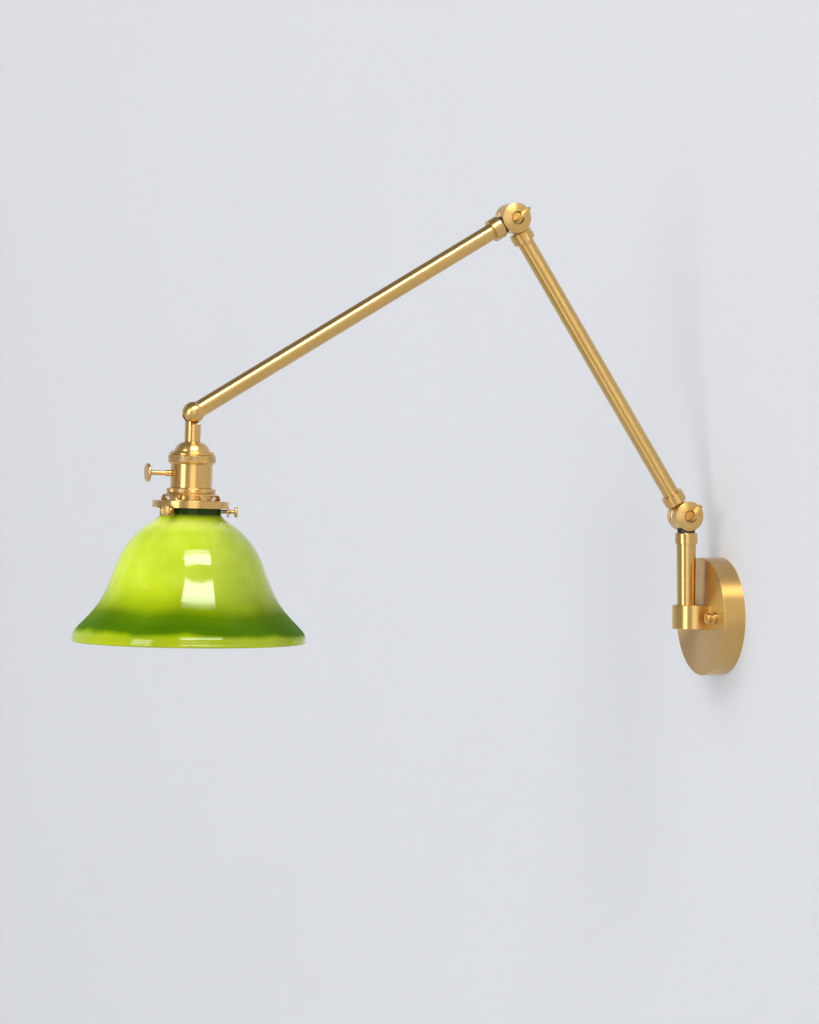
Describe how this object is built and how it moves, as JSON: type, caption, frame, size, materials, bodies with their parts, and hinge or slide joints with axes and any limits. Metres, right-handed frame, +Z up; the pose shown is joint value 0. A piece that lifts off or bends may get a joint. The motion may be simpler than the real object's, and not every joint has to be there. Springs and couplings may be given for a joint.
{
  "type": "wall lamp",
  "caption": "Articulating wall lamp: round wall plate, swivelling stem, folding arm with wing keys at its knuckles, and a tilting lampholder with a bell-shaped glass shade.",
  "frame": {"origin": "centre of the wall plate's back rim, on the wall", "axes": "+Y into the wall, -Y out into the room, +Z up, +X towards the side with the wing keys"},
  "size_m": [0.2172, 0.6483, 0.454],
  "materials": {
    "satin_brass": "satin brushed, unlacquered brass",
    "bright_contact": "bright pressed brass",
    "zinc_steel": "zinc plated",
    "green_ground": "green plated",
    "black_nylon": "moulded black nylon",
    "porcelain": "glazed porcelain",
    "fibre_liner": "vulcanised fibre",
    "green_glass": "cased lime green glass, glossy"
  },
  "bodies": {
    "wall_mount": {"canopy": "satin_brass", "box_strap": "zinc_steel", "fixture_strap": "zinc_steel", "strap_screw": "zinc_steel", "ground_screw": "green_ground", "canopy_studs": "zinc_steel", "canopy_nuts": "satin_brass", "stem_bracket": "satin_brass", "bracket_nipple": "zinc_steel", "nipple_nut": "zinc_steel"},
    "stem": {"stem_tube": "satin_brass", "stem_retainer": "zinc_steel", "stem_ferrule": "satin_brass", "stem_spacer": "black_nylon", "lower_knuckle_front": "satin_brass"},
    "lower_arm": {"lower_knuckle_back": "satin_brass", "lower_friction_washer": "black_nylon", "lower_arm_tube": "satin_brass", "lower_arm_foot_ferrule": "satin_brass", "lower_arm_head_ferrule": "satin_brass", "elbow_back": "satin_brass", "elbow_friction_washer": "black_nylon"},
    "lower_key": {"lower_key": "satin_brass"},
    "elbow_key": {"elbow_key": "satin_brass"},
    "upper_arm": {"elbow_front": "satin_brass", "upper_arm_spacer": "black_nylon", "upper_arm_ferrule": "satin_brass", "upper_arm_tube": "satin_brass", "swivel_ball": "satin_brass", "ball_pin": "zinc_steel"},
    "head": {"swivel_neck": "satin_brass", "socket_cap": "satin_brass", "cap_set_screw": "zinc_steel", "cap_ring": "satin_brass", "socket_shell": "satin_brass", "insulating_liner": "fibre_liner", "lampholder_core": "porcelain", "screw_shell": "bright_contact", "centre_contact": "bright_contact", "shade_ring": "satin_brass", "lock_ring": "satin_brass", "shade_fitter": "satin_brass", "glass_shade": "green_glass"},
    "switch": {"switch_knob": "satin_brass"},
    "shade_screw_1": {"shade_screw_1": "satin_brass"},
    "shade_screw_2": {"shade_screw_2": "satin_brass"},
    "shade_screw_3": {"shade_screw_3": "satin_brass"}
  },
  "joints": [
    {"name": "stem_swivel", "type": "hinge", "parent": "wall_mount", "child": "stem", "pos_m": [0, -0.0369, 0], "axis": [0, 0, 1], "range_deg": [-80, 80]},
    {"name": "lower_arm_tilt", "type": "hinge", "parent": "stem", "child": "lower_arm", "pos_m": [0, -0.0369, 0.0975], "axis": [1, 0, 0], "range_deg": [-32, 60]},
    {"name": "elbow_fold", "type": "hinge", "parent": "lower_arm", "child": "upper_arm", "pos_m": [0, -0.21648, 0.38267], "axis": [1, 0, 0], "range_deg": [-88, 15]},
    {"name": "head_tilt", "type": "hinge", "parent": "upper_arm", "child": "head", "pos_m": [0, -0.53497, 0.1973], "axis": [1, 0, 0], "range_deg": [-58, 32]},
    {"name": "lower_key_turn", "type": "hinge", "parent": "lower_arm", "child": "lower_key", "pos_m": [0, -0.0369, 0.0975], "axis": [1, 0, 0], "range_deg": [-15, 180]},
    {"name": "elbow_key_turn", "type": "hinge", "parent": "lower_arm", "child": "elbow_key", "pos_m": [0, -0.21648, 0.38267], "axis": [1, 0, 0], "range_deg": [-15, 180]},
    {"name": "switch_turn", "type": "hinge", "parent": "head", "child": "switch", "pos_m": [0, -0.55673, 0.14161], "axis": [0, -0.9995, 0.0314], "continuous": true},
    {"name": "shade_screw_1_draw", "type": "slide", "parent": "head", "child": "shade_screw_1", "axis": [0.6428, -0.7657, 0.0241], "range_m": [0, 0.004]},
    {"name": "shade_screw_2_draw", "type": "slide", "parent": "head", "child": "shade_screw_2", "axis": [0.342, 0.9392, -0.0295], "range_m": [0, 0.004]},
    {"name": "shade_screw_3_draw", "type": "slide", "parent": "head", "child": "shade_screw_3", "axis": [-0.9848, -0.1736, 0.0055], "range_m": [0, 0.004]}
  ]
}
